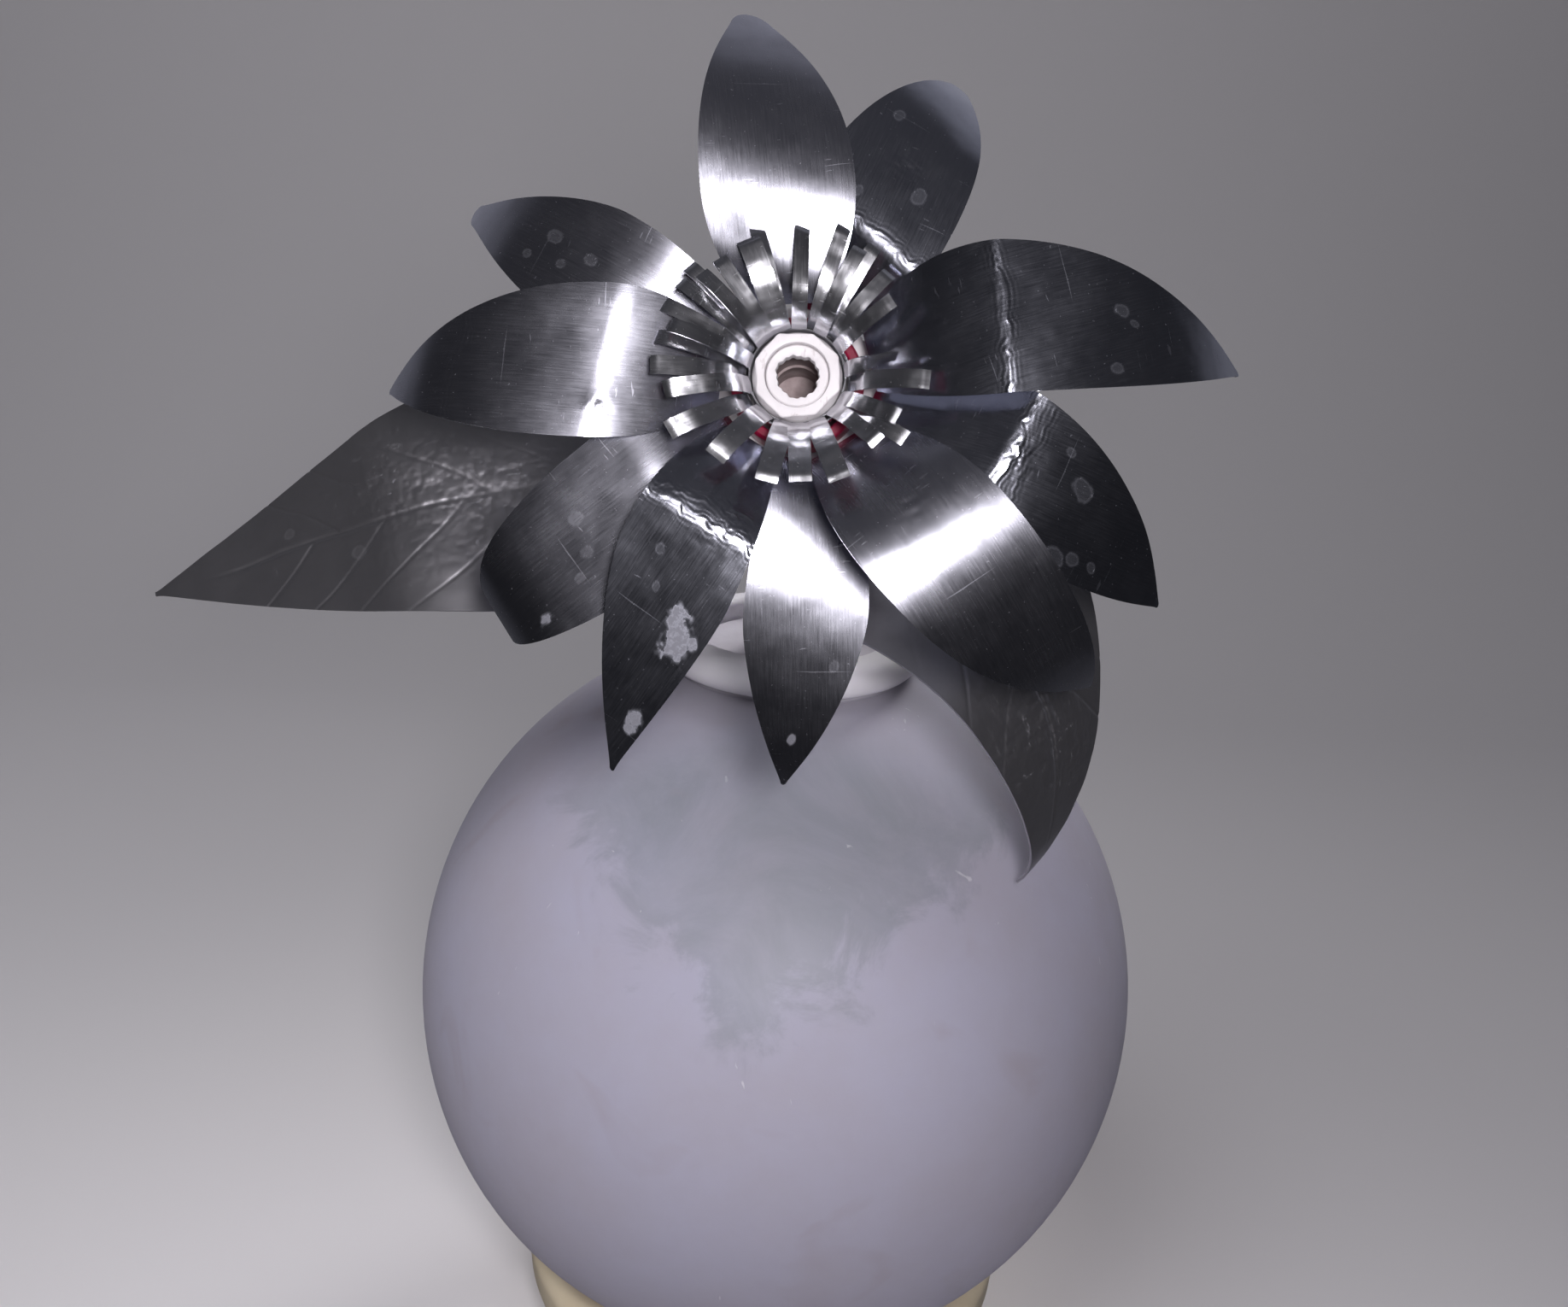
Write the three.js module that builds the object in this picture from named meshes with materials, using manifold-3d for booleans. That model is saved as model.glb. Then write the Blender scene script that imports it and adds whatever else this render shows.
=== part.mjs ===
// A flower of sheet aluminium on a bent plastic pipe, standing in a frosted
// globe vase on a ring stand. Millimetres, +Z up, the flower looks towards -Y.
// The origin is the centre of the stand's foot, on the surface it stands on.
import * as THREE from "three";
import { mergeVertices } from "three/addons/utils/BufferGeometryUtils.js";
import Module from "manifold-3d";

const wasm = await Module();
wasm.setup();

// ---- driving dimensions -----------------------------------------------------

const GAP = 0.3; // between pieces that touch
const GLOBE_RADIUS = 100;
const GLOBE_WALL = 2.5;
const STAND_HEIGHT = 40;
const STAND_FOOT_RADIUS = 63;
const STAND_RADIUS = 72;
const STAND_SEAT_RADIUS = 58; // inner edge that carries the globe
const MOUTH_RADIUS = 25.6;
const LIP_RADIUS = 35;
const LIP_HEIGHT = 106; // top of the lip above the globe's centre
const PLUG_THICKNESS = 9;
const PLUG_DEPTH = 5; // plug's top face below the lip
const PIPE_RADIUS = 8.25;
const PIPE_WALL = 2.4;
const PIPE_CORNER = 267.7; // height where the pipe's two straight runs would meet
const PIPE_REACH = 108.2; // from that corner to the open end
const PIPE_BEND_RADIUS = 40;
const FACE_UP = 23; // degrees that the flower looks up
const FACE_LEFT = 1.2; // degrees that it looks to its side, towards -X
const SHEET = 0.5; // thickness of petals and leaves
const FOIL = 0.3; // thickness of the fringe
const ROOT_RADIUS = 14; // circle of the petal roots
const ROOT_WIDTH = 0.46; // root width over full width of a petal
const LEAF_ROOT_WIDTH = 0.3; // root width over full width of a leaf
const TIP = 0.5; // half width at the very tip

const rad = THREE.MathUtils.degToRad;
const deg = THREE.MathUtils.radToDeg;

// The globe sits on the stand's inner edge.
const GLOBE_CENTRE = STAND_HEIGHT + Math.sqrt((GLOBE_RADIUS + GAP) ** 2 - STAND_SEAT_RADIUS ** 2);
const GLOBE_FLOOR = GLOBE_CENTRE - GLOBE_RADIUS + GLOBE_WALL;
const LIP_TOP = GLOBE_CENTRE + LIP_HEIGHT;
const PLUG_TOP = LIP_TOP - PLUG_DEPTH;

// Petals overlap like tiles: five in front, five behind them.
const FRONT = -5; // height of the roots on the flower's axis
const BACK = -8;

// The templates that the blanks are cut from. widest: place of the full width
// along the length. taper: fullness of the end.
const BROAD = { width: 27, widest: 0.35, taper: 2.2 };
const NARROW = { width: 23, widest: 0.45, taper: 1.5 };
const LEAF = { width: 56, widest: 0.4, taper: 1.3 };

// Each petal is cut from a template and bent by hand. turn: place round the
// flower, from +X. roll: tilt about its own length. skew: angle of the bend lines
// to the square position. tip: half width left at a blunt tip. sweep: sideways
// curve of the middle line. bends: slope in degrees at stations from the root,
// negative towards the viewer.
const PETALS = [
  {
    ...BROAD, turn: 99, layer: FRONT + 2, roll: 5, skew: -20, length: 62, sweep: 0, tip: 3,
    bends: [[0, -50], [8, -25], [14, -18], [22, -6], [36, 20], [62, 45]],
  },
  {
    ...BROAD, turn: 68, layer: BACK - 1, roll: 5, skew: -15, length: 62, sweep: -0.1, tip: 2,
    bends: [[0, -42], [16, -36], [19, 2], [35, 12], [62, 60]],
  },
  {
    ...BROAD, turn: 20, layer: FRONT, roll: 5, skew: -10, length: 80, sweep: -0.3,
    bends: [[0, -50], [12, -40], [27, -22], [29, 8], [45, 18], [80, 48]],
  },
  {
    ...BROAD, turn: -18, layer: BACK, roll: 5, skew: -10, length: 78, sweep: -0.2,
    bends: [[0, -40], [28, -20], [31, 14], [45, 28], [78, 50]],
  },
  {
    ...BROAD, turn: -52, layer: FRONT, roll: 0, skew: -5, length: 88, sweep: 0.15,
    bends: [[0, -55], [20, -30], [33, 5], [46, 35], [88, 75]],
  },
  {
    ...NARROW, turn: -84, layer: BACK, roll: -10, skew: -25, length: 68, sweep: -0.1,
    bends: [[0, -40], [10, -5], [22, 10], [34, 25], [68, 55]],
  },
  {
    ...NARROW, turn: -122, layer: FRONT + 1, roll: -5, skew: 5, length: 71, sweep: 0.2,
    bends: [[0, -45], [18, -26], [21, -10], [23, 14], [45, 20], [71, 25]],
  },
  {
    ...BROAD, turn: -140, layer: BACK, roll: -5, skew: -5, length: 76, sweep: 0, tip: 2,
    bends: [[0, -40], [14, -22], [18, -8], [22, 6], [48, 16], [62, 65], [76, 110]],
  },
  {
    ...BROAD, turn: 178, layer: FRONT + 1.5, roll: -5, skew: -10, length: 70, sweep: 0.1,
    bends: [[0, -45], [10, -32], [20, -21], [24, -4], [33, 4], [50, 25], [70, 60]],
  },
  {
    ...NARROW, turn: 154, layer: BACK, roll: -5, skew: 0, length: 66, sweep: 0, tip: 2,
    bends: [[0, -32], [12, -20], [20, -5], [30, 10], [66, 50]],
  },
];

// Fringe fingers: place round the flower, from +X, and width.
const FRONT_FINGERS = [
  [9, 2.7], [37, 2.7], [65, 2.7], [91, 2.8], [114, 4.2], [129, 2.7], [139, 2.7], [166, 2.7],
  [195, 3.2], [232, 4], [259, 4], [275, 4], [293, 4], [318, 2.9], [334, 2.9],
];
const BACK_FINGERS = [
  [-4, 3.4], [50, 2.7], [61, 2.7], [75, 2.7], [109, 2.7], [140, 2.7], [147, 2.7], [158, 2.8],
  [171, 2.8], [184, 3.4], [211, 3.4], [327, 2.9],
];

// ---- building blocks ----------------------------------------------------------

// A profile of [radius, height] points turned round the Z axis.
function turned(profile, segments = 32) {
  const points = profile.map(([radius, height]) => new THREE.Vector2(radius, height));
  return new THREE.LatheGeometry(points, segments).rotateX(Math.PI / 2);
}

// Profile points on an arc round [centreRadius, centreHeight], angles from the radial direction.
function arc(centreRadius, centreHeight, radius, from, to, steps) {
  return Array.from({ length: steps + 1 }, (_, i) => {
    const angle = rad(from + ((to - from) * i) / steps);
    return [centreRadius + radius * Math.cos(angle), centreHeight + radius * Math.sin(angle)];
  });
}

function ring(inner, outer, bottom, top, segments) {
  return turned([[inner, bottom], [outer, bottom], [outer, top], [inner, top], [inner, bottom]], segments);
}

// Half the width of a pointed blank, at a share x of its length.
function petalOutline({ width, widest, taper, tip = TIP }) {
  return (x) => {
    const share = x < widest
      ? 1 - (1 - ROOT_WIDTH) * ((widest - x) / widest) ** 2
      : 1 - ((x - widest) / (1 - widest)) ** taper;
    return Math.hypot((width / 2) * share, tip);
  };
}

function leafOutline({ width, widest, taper }) {
  return (x) => {
    const share = x < widest
      ? LEAF_ROOT_WIDTH + (1 - LEAF_ROOT_WIDTH) * (x / widest)
      : 1 - ((x - widest) / (1 - widest)) ** taper;
    return Math.hypot((width / 2) * share, TIP);
  };
}

// Slope at any station, even between one bend and the next.
function slopeFrom(bends) {
  return (at) => {
    const next = bends.findIndex(([station]) => station >= at);
    if (next === 0) {
      return bends[0][1];
    }
    if (next < 0) {
      return bends[bends.length - 1][1];
    }
    const [[from, low], [to, high]] = [bends[next - 1], bends[next]];
    return low + ((high - low) * (at - from)) / (to - from);
  };
}

// Runs along a strip whose slope is given in degrees, and says where it has got to.
function bentPath(slope, from, to) {
  const step = 0.5;
  const places = [{ at: from, along: 0, up: 0 }];
  for (let at = from + step; at < to + step; at += step) {
    const angle = rad(slope(at - step / 2));
    const last = places[places.length - 1];
    places.push({ at, along: last.along + step * Math.cos(angle), up: last.up - step * Math.sin(angle) });
  }
  const place = (at) => {
    const exact = THREE.MathUtils.clamp((at - from) / step, 0, places.length - 1.001);
    const low = Math.floor(exact);
    const share = exact - low;
    const [a, b] = [places[low], places[low + 1]];
    return [a.along + share * (b.along - a.along), a.up + share * (b.up - a.up)];
  };
  const [along0, up0] = place(0);
  return (at) => {
    const [along, up] = place(at);
    return [along - along0, up - up0];
  };
}

// A sheet cut to an outline and bent along parallel lines. Its root is at the
// origin, it runs along +X, and its front face looks to +Z.
function bentSheet({ length, halfWidth, sweep = 0, slope, skew = 0, thickness, rows, columns }) {
  const [cos, sin] = [Math.cos(rad(skew)), Math.sin(rad(skew))];
  const reach = length + 30;
  const path = bentPath(slope, -30, reach);
  const front = [];
  const rear = [];
  for (let i = 0; i <= rows; i += 1) {
    const x = i / rows;
    for (let j = 0; j <= columns; j += 1) {
      const u = x * length;
      const v = sweep * length * x * x + ((2 * j) / columns - 1) * halfWidth(x);
      const a = u * cos + v * sin;
      const b = v * cos - u * sin;
      const [along, up] = path(a);
      const tilt = rad(slope(a));
      const normal = new THREE.Vector3(Math.sin(tilt) * cos, Math.sin(tilt) * sin, Math.cos(tilt));
      const point = new THREE.Vector3(along * cos - b * sin, along * sin + b * cos, up);
      front.push(point.clone().addScaledVector(normal, thickness / 2));
      rear.push(point.clone().addScaledVector(normal, -thickness / 2));
    }
  }
  const width = columns + 1;
  const index = [];
  const quad = (a, b, c, d) => index.push(a, b, c, a, c, d);
  const back = front.length;
  for (let i = 0; i < rows; i += 1) {
    for (let j = 0; j < columns; j += 1) {
      const k = i * width + j;
      quad(k, k + width, k + width + 1, k + 1);
      quad(back + k, back + k + 1, back + k + width + 1, back + k + width);
    }
    const [left, right] = [i * width, i * width + columns];
    quad(left, back + left, back + left + width, left + width);
    quad(right, right + width, back + right + width, back + right);
  }
  for (let j = 0; j < columns; j += 1) {
    const tip = rows * width + j;
    quad(j, j + 1, back + j + 1, back + j);
    quad(tip, back + tip, back + tip + 1, tip + 1);
  }
  const geometry = new THREE.BufferGeometry().setFromPoints([...front, ...rear]);
  geometry.setIndex(index);
  return geometry;
}

function toSolid(geometry) {
  const bare = geometry.clone();
  bare.deleteAttribute("normal");
  bare.deleteAttribute("uv");
  const merged = mergeVertices(bare, 1e-4);
  return new wasm.Manifold(new wasm.Mesh({
    numProp: 3,
    vertProperties: new Float32Array(merged.attributes.position.array),
    triVerts: new Uint32Array(merged.index.array),
  }));
}

function toGeometry(solid) {
  const mesh = solid.getMesh();
  const geometry = new THREE.BufferGeometry();
  geometry.setAttribute("position", new THREE.BufferAttribute(mesh.vertProperties, 3));
  geometry.setIndex(new THREE.BufferAttribute(mesh.triVerts, 1));
  return geometry;
}

function mesh(name, geometry, color, roughness, metalness) {
  geometry.computeVertexNormals();
  const made = new THREE.Mesh(geometry, new THREE.MeshStandardMaterial({ color, roughness, metalness }));
  made.name = name;
  return made;
}

const aluminium = (name, geometry) => mesh(name, geometry, "#8d8c94", 0.38, 1);
const whitePlastic = (name, geometry) => mesh(name, geometry, "#e9e3e6", 0.5, 0);

// ---- stand and globe ------------------------------------------------------------

function ringStand() {
  const shoulder = 5;
  const floor = 6;
  const profile = [
    [0, 0],
    [STAND_FOOT_RADIUS - 2, 0],
    [STAND_FOOT_RADIUS, 2],
    [STAND_RADIUS, STAND_HEIGHT - 12],
    ...arc(STAND_RADIUS - shoulder, STAND_HEIGHT - shoulder, shoulder, 0, 90, 4),
    [STAND_SEAT_RADIUS, STAND_HEIGHT],
    [STAND_SEAT_RADIUS - 1, STAND_HEIGHT - 6],
    [STAND_SEAT_RADIUS - 4, floor + 3],
    [STAND_SEAT_RADIUS - 8, floor],
    [0, floor],
  ];
  return mesh("ring_stand", turned(profile, 40), "#d8cbb4", 0.45, 0);
}

function glassGlobe() {
  const neckRadius = 31;
  const lipRoll = 4.5;
  const inside = GLOBE_RADIUS - GLOBE_WALL;
  const neckAngle = deg(Math.acos(neckRadius / GLOBE_RADIUS));
  const mouthAngle = deg(Math.acos(MOUTH_RADIUS / inside));
  const profile = [
    ...arc(0, 0, GLOBE_RADIUS, -90, neckAngle, 16),
    ...arc(LIP_RADIUS - lipRoll, LIP_HEIGHT - lipRoll, lipRoll, -60, 90, 5),
    [MOUTH_RADIUS + 1.5, LIP_HEIGHT],
    [MOUTH_RADIUS, LIP_HEIGHT - 1.5],
    ...arc(0, 0, inside, mouthAngle, -90, 16),
  ];
  const globe = mesh("glass_globe", turned(profile, 40), "#dcd8e2", 0.35, 0);
  globe.position.z = GLOBE_CENTRE;
  return globe;
}

function neckPlug() {
  const outer = MOUTH_RADIUS - GAP - 0.2;
  const bore = PIPE_RADIUS + GAP;
  const bottom = PLUG_TOP - PLUG_THICKNESS;
  const profile = [
    [bore, bottom],
    [outer - 1, bottom],
    [outer, bottom + 1],
    [outer, PLUG_TOP - 1],
    [outer - 1, PLUG_TOP],
    [bore, PLUG_TOP],
    [bore, bottom],
  ];
  return mesh("neck_plug", turned(profile, 40), "#c9c6cf", 0.7, 0);
}

// ---- pipe -----------------------------------------------------------------------

// Straight up from the globe's floor, round one bend, and straight to the
// flower. Most of the steps are spent on the bend.
class PipeRoute extends THREE.Curve {
  constructor(bottom, steps) {
    super();
    this.bottom = bottom;
    this.steps = steps;
    this.turn = rad(90 - FACE_UP);
    this.tangentLength = PIPE_BEND_RADIUS * Math.tan(this.turn / 2);
  }

  // Height and reach towards the flower, measured in the plane of the bend.
  inPlane(t) {
    const bendStart = PIPE_CORNER - this.tangentLength;
    const station = t * this.steps;
    if (station < 1) {
      return [0, THREE.MathUtils.lerp(this.bottom, bendStart, station)];
    }
    const share = Math.min((station - 1) / (this.steps - 2), 1);
    const angle = share * this.turn;
    const run = Math.max(station - this.steps + 1, 0) * (PIPE_REACH - this.tangentLength);
    return [
      PIPE_BEND_RADIUS * (1 - Math.cos(angle)) + run * Math.sin(angle),
      bendStart + PIPE_BEND_RADIUS * Math.sin(angle) + run * Math.cos(angle),
    ];
  }

  getPoint(t) {
    const [reach, height] = this.inPlane(t);
    const side = rad(FACE_LEFT);
    return new THREE.Vector3(-reach * Math.sin(side), -reach * Math.cos(side), height);
  }

  getPointAt(t) {
    return this.getPoint(t);
  }

  getTangentAt(t) {
    return this.getTangent(t);
  }
}

const pipeSteps = 11;
const pipeRoute = new PipeRoute(GLOBE_FLOOR + 1, pipeSteps);

function stemPipe() {
  const section = new THREE.Shape();
  section.absarc(0, 0, PIPE_RADIUS, 0, 2 * Math.PI);
  const bore = new THREE.Path();
  bore.absarc(0, 0, PIPE_RADIUS - PIPE_WALL, 0, 2 * Math.PI);
  section.holes.push(bore);
  const geometry = new THREE.ExtrudeGeometry(section, {
    steps: pipeSteps,
    curveSegments: 12,
    extrudePath: pipeRoute,
  });
  return whitePlastic("stem_pipe", geometry);
}

// ---- leaves ---------------------------------------------------------------------

// azimuth and climb: direction of the leaf from the pipe, in degrees. faces:
// the side that its front looks to, before it is rolled about its length.
const LEAVES = {
  leaf_left: {
    ...LEAF, root: [-12, -33, 284], azimuth: 185, climb: -15, faces: [0, -1, 0], roll: 30, length: 150,
    skew: 0,
    bends: [[0, 0], [70, -10], [90, 20], [150, 10]],
  },
  leaf_right: {
    ...LEAF, root: [7, -10, 248], azimuth: -55, climb: 0, faces: [0, 0, 1], roll: 25, length: 155,
    skew: 10,
    bends: [[0, -45], [60, 10], [90, 70], [155, 135]],
  },
};

// Place of a leaf's root, its length along local +X and its front to local +Z.
function leafPlace(spec) {
  const [azimuth, climb] = [rad(spec.azimuth), rad(spec.climb)];
  const along = new THREE.Vector3(
    Math.cos(azimuth) * Math.cos(climb),
    Math.sin(azimuth) * Math.cos(climb),
    Math.sin(climb),
  );
  const across = new THREE.Vector3(...spec.faces).cross(along).normalize();
  const up = new THREE.Vector3().crossVectors(along, across);
  return new THREE.Matrix4()
    .makeBasis(along, across, up)
    .setPosition(...spec.root)
    .multiply(new THREE.Matrix4().makeRotationX(rad(spec.roll)));
}

function leaf(name, spec) {
  const geometry = bentSheet({
    length: spec.length,
    halfWidth: leafOutline(spec),
    skew: spec.skew,
    slope: slopeFrom(spec.bends),
    thickness: SHEET,
    rows: 20,
    columns: 4,
  });
  const placed = aluminium(name, geometry);
  leafPlace(spec).decompose(placed.position, placed.quaternion, placed.scale);
  return placed;
}

// A band round the pipe, at a share of its route, with a tongue behind the
// leaf's root that carries the leaf.
function leafTie(name, share, spec) {
  const bore = PIPE_RADIUS + 0.7;
  const thickness = 0.8;
  const height = 5;
  const tongueLength = 16;
  const overlap = 1; // length of tongue behind the leaf
  const centre = pipeRoute.getPoint(share);
  const upright = new THREE.Quaternion()
    .setFromUnitVectors(new THREE.Vector3(0, 0, 1), pipeRoute.getTangent(share));
  const onPipe = new THREE.Matrix4().compose(centre, upright, new THREE.Vector3(1, 1, 1));
  const band = ring(bore, bore + thickness, -height / 2, height / 2, 24).applyMatrix4(onPipe);
  const tongue = bentSheet({
    length: tongueLength,
    halfWidth: () => height / 2,
    slope: () => spec.bends[0][1],
    thickness,
    rows: 1,
    columns: 1,
  });
  const rootSlope = rad(spec.bends[0][1]);
  const behind = (SHEET + thickness) / 2 + 1.5 * GAP;
  tongue
    .translate(
      (overlap - tongueLength) * Math.cos(rootSlope) - behind * Math.sin(rootSlope),
      0,
      (tongueLength - overlap) * Math.sin(rootSlope) - behind * Math.cos(rootSlope),
    )
    .applyMatrix4(leafPlace(spec));
  const pipeRoom = new THREE.CylinderGeometry(bore, bore, 4 * tongueLength, 24)
    .rotateX(Math.PI / 2)
    .applyMatrix4(onPipe);
  const solid = toSolid(band).add(toSolid(tongue).subtract(toSolid(pipeRoom)));
  return mesh(name, toGeometry(solid), "#6e6a6c", 0.6, 0.4);
}

// ---- flower head, drawn with its axis along +Z and the pipe's open end at z = 0 ---

function endBung() {
  const outer = PIPE_RADIUS - PIPE_WALL - GAP;
  const disc = new THREE.Shape();
  disc.absarc(0, 0, outer, 0, 2 * Math.PI);
  const hole = Array.from({ length: 16 }, (_, i) => {
    const angle = (2 * Math.PI * i) / 16;
    const radius = 3.8 + 0.25 * Math.sin(3 * angle) + 0.2 * Math.sin(7 * angle + 1);
    return new THREE.Vector2(radius * Math.cos(angle), radius * Math.sin(angle));
  });
  disc.holes.push(new THREE.Path(hole));
  const thickness = 3;
  const geometry = new THREE.ExtrudeGeometry(disc, {
    depth: thickness,
    bevelEnabled: false,
    curveSegments: 12,
  });
  return whitePlastic("end_bung", geometry.translate(0, 0, -0.8 - thickness));
}

// A lining cup inside the pipe, open towards the hole in the bung.
function pipeLining() {
  const outer = PIPE_RADIUS - PIPE_WALL - GAP;
  const [bottom, top, wall] = [-22, -4.2, 0.7];
  const profile = [
    [0, bottom],
    [outer, bottom],
    [outer, top],
    [outer - wall, top],
    [outer - wall, bottom + wall],
    [0, bottom + wall],
  ];
  return mesh("pipe_lining", turned(profile, 24), "#8c7d7f", 0.8, 0);
}

function redCollar() {
  const bore = PIPE_RADIUS + 2;
  const outer = ROOT_RADIUS - 0.6;
  const profile = [
    [bore, -12],
    [outer, -12],
    [outer, -5],
    [bore + 1, -2.8],
    [bore, -2.8],
    [bore, -12],
  ];
  return mesh("red_collar", turned(profile, 32), "#7c1230", 0.35, 0);
}

function backWasher() {
  return whitePlastic("back_washer", ring(PIPE_RADIUS + GAP, ROOT_RADIUS + 2, -14.5, -12.3, 32));
}

// A foil strip wound round the pipe, its front edge cut into fingers that arch outwards.
function fringe(name, fingers, { bandRadius, front, length }) {
  const [rootSlope, tipSlope] = [-70, 10];
  let solid = toSolid(ring(bandRadius, bandRadius + FOIL, -9, front, 36));
  for (const [turn, width] of fingers) {
    const finger = bentSheet({
      length,
      halfWidth: () => width / 2,
      slope: slopeFrom([[0, rootSlope], [length, tipSlope]]),
      thickness: FOIL,
      rows: 6,
      columns: 1,
    });
    finger.translate(bandRadius + FOIL / 2, 0, front - FOIL).rotateZ(rad(turn));
    solid = solid.add(toSolid(finger));
  }
  return aluminium(name, toGeometry(solid));
}

function petal(name, spec) {
  const geometry = bentSheet({
    length: spec.length,
    halfWidth: petalOutline(spec),
    sweep: spec.sweep,
    skew: spec.skew,
    slope: slopeFrom(spec.bends),
    thickness: SHEET,
    rows: 16,
    columns: 4,
  });
  geometry.rotateX(rad(spec.roll)).translate(ROOT_RADIUS, 0, spec.layer).rotateZ(rad(spec.turn));
  return aluminium(name, geometry);
}

function flowerHead() {
  const head = new THREE.Group();
  head.add(endBung(), pipeLining(), redCollar(), backWasher());
  head.add(fringe("fringe_front", FRONT_FINGERS, {
    bandRadius: PIPE_RADIUS + GAP, front: -0.9, length: 18.5,
  }));
  head.add(fringe("fringe_back", BACK_FINGERS, {
    bandRadius: PIPE_RADIUS + FOIL + 3 * GAP, front: -2.2, length: 19.5,
  }));
  PETALS.forEach((spec, i) => head.add(petal(`petal_${String(i + 1).padStart(2, "0")}`, spec)));
  head.position.copy(pipeRoute.getPoint(1));
  head.rotation.set(rad(90 - FACE_UP), 0, rad(-FACE_LEFT), "ZXY");
  return head;
}

// ---- assembly -------------------------------------------------------------------

const group = new THREE.Group();
group.add(ringStand(), glassGlobe(), neckPlug(), stemPipe());
for (const [name, spec] of Object.entries(LEAVES)) {
  group.add(leaf(name, spec));
}
group.add(
  leafTie("leaf_right_tie", 0.22, LEAVES.leaf_right),
  leafTie("leaf_left_tie", 0.919, LEAVES.leaf_left),
);
group.add(flowerHead());

export default group;
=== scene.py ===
"""A flower of bent aluminium sheet in a frosted globe vase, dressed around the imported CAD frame.

Sheets are computed in millimetres, as they are cut and bent, and stored in metres.
"""

import math

import bpy
import numpy as np
from mathutils import Matrix, Vector


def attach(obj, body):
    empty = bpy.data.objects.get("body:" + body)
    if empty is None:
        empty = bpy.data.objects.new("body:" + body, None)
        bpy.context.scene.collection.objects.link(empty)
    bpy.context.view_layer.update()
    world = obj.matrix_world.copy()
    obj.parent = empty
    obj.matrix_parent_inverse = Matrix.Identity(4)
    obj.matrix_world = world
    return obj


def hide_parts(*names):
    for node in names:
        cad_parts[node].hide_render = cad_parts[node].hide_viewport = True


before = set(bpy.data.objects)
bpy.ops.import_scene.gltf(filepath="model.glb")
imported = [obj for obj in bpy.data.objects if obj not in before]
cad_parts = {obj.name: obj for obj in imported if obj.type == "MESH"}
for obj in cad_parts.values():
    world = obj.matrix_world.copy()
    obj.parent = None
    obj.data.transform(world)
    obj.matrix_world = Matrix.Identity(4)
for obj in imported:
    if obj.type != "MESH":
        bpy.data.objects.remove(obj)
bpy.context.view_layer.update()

MM = 0.001

# ---- dimensions of the CAD frame, in millimetres ------------------------------------

GLOBE_RADIUS = 100
GLOBE_WALL = 2.5
STAND_HEIGHT = 40
STAND_SEAT_RADIUS = 58  # of the circle on which the globe rests, at the top of the stand
MOUTH_RADIUS = 25.6
NECK_RADIUS = 31
LIP_RADIUS = 35
LIP_HEIGHT = 106  # above the globe's centre
PLUG_THICKNESS = 9
PIPE_RADIUS = 8.25
PIPE_WALL = 2.4
PIPE_CORNER = 267.7  # height at which the upright and the slanting stretch would meet
PIPE_REACH = 108.2  # from that corner to the open end
PIPE_BEND_RADIUS = 40
FACE_UP = 23  # degrees by which the flower looks up
FACE_LEFT = 1.2  # degrees by which it looks to the left
SHEET = 0.5  # thickness of petals and leaves
FOIL = 0.3  # thickness of the fringe
ROOT_RADIUS = 14  # from the pipe's middle line to the petals' roots
ROOT_WIDTH = 0.46  # a petal's width at its root, as a share of its greatest width
LEAF_ROOT_WIDTH = 0.3  # the same of a leaf
TIP = 0.5  # half the width left at a pointed tip
FRONT = -5  # depth of the front petals' roots, from the pipe's open end
BACK = -8  # depth of the back petals' roots
GAP = 0.3  # room between pieces that don't touch

GLOBE_CENTRE = STAND_HEIGHT + math.sqrt((GLOBE_RADIUS + GAP) ** 2 - STAND_SEAT_RADIUS**2)
PLUG_TOP = GLOBE_CENTRE + LIP_HEIGHT - 5
PIPE_TURN = math.radians(90 - FACE_UP)
PIPE_TANGENT = PIPE_BEND_RADIUS * math.tan(PIPE_TURN / 2)
PIPE_BOTTOM = GLOBE_CENTRE - GLOBE_RADIUS + GLOBE_WALL + 1

# The shapes that petals and leaves are cut to: the greatest width, the share of the length at
# which it lies, and the power with which it narrows to the tip.
BROAD = {"width": 27, "widest": 0.35, "taper": 2.2}
NARROW = {"width": 23, "widest": 0.45, "taper": 1.5}
LEAF = {"width": 56, "widest": 0.4, "taper": 1.3}


def face_frame():
    """Place of the flower head: its axis along local +Z, the pipe's open end at local zero."""
    sideways = Matrix.Rotation(math.radians(-FACE_LEFT), 4, "Z")
    turn = sideways @ Matrix.Rotation(math.radians(90 - FACE_UP), 4, "X")
    axis = turn @ Vector((0, 0, 1))
    centre = Vector((0, 0, PIPE_CORNER)) + PIPE_REACH * axis
    return Matrix.Translation(centre) @ turn


HEAD = face_frame()

# ---- camera and light -----------------------------------------------------------------

CAMERA_PLACE = (-0.002, -0.357, 0.35)  # in metres
CAMERA_PITCH = 20  # degrees down
CAMERA_ROLL = 2.8
CAMERA_LENS = 32.5


def add_camera():
    """A camera in front of the flower, tipped down and leaning a little."""
    pitch = math.radians(CAMERA_PITCH)
    roll = math.radians(CAMERA_ROLL)
    level = Vector((1, 0, 0))
    upright = Vector((0, math.sin(pitch), math.cos(pitch)))
    right = math.cos(roll) * level + math.sin(roll) * upright
    up = math.cos(roll) * upright - math.sin(roll) * level
    back = right.cross(up)
    data = bpy.data.cameras.new("camera")
    data.sensor_width = 36
    data.lens = CAMERA_LENS
    data.clip_start = 0.01
    camera = bpy.data.objects.new("camera", data)
    axes = Matrix((right, up, back)).transposed().to_4x4()
    camera.matrix_world = Matrix.Translation(CAMERA_PLACE) @ axes
    bpy.context.scene.collection.objects.link(camera)
    bpy.context.scene.camera = camera


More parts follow.
